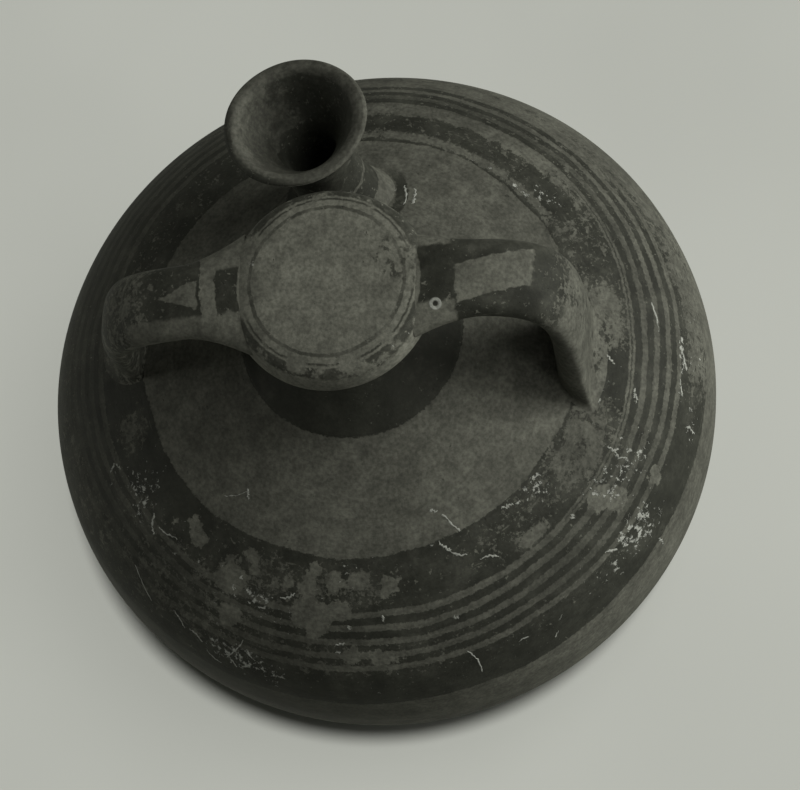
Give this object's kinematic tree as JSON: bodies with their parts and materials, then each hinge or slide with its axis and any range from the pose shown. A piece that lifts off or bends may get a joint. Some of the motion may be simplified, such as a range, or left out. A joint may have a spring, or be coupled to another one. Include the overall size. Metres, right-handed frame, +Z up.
{
  "type": "stirrup jar",
  "caption": "Closed globular clay jar with a ring foot, a false neck under a flat disc, strap handles from the disc to the shoulder, and a separate flared spout; painted bands.",
  "frame": {"origin": "centre of the foot's resting plane, on the axis on which the body was thrown", "axes": "+Z up along the throwing axis, +X along the right handle, +Y to the side on which the spout stands"},
  "size_m": [0.18, 0.18, 0.1695],
  "materials": {
    "plain_clay": "bare fired clay, matt, lightly pitted",
    "banded_clay": "fired clay with worn bands and fine lines of dark slip",
    "slipped_clay": "fired clay under dark slip, worn to a dull sheen",
    "disc_clay": "bare fired clay with thin rings of dark slip",
    "strap_clay": "fired clay with dark slip, leaving a bare triangle and a bare strip",
    "spout_clay": "fired clay with dark slip and fine bare lines on the stem"
  },
  "bodies": {
    "root": {"foot_ring": "plain_clay", "lower_bowl": "banded_clay", "shoulder_dome": "banded_clay", "false_neck": "slipped_clay", "neck_disc": "disc_clay", "right_handle": "strap_clay", "left_handle": "strap_clay", "spout": "spout_clay"}
  },
  "joints": []
}
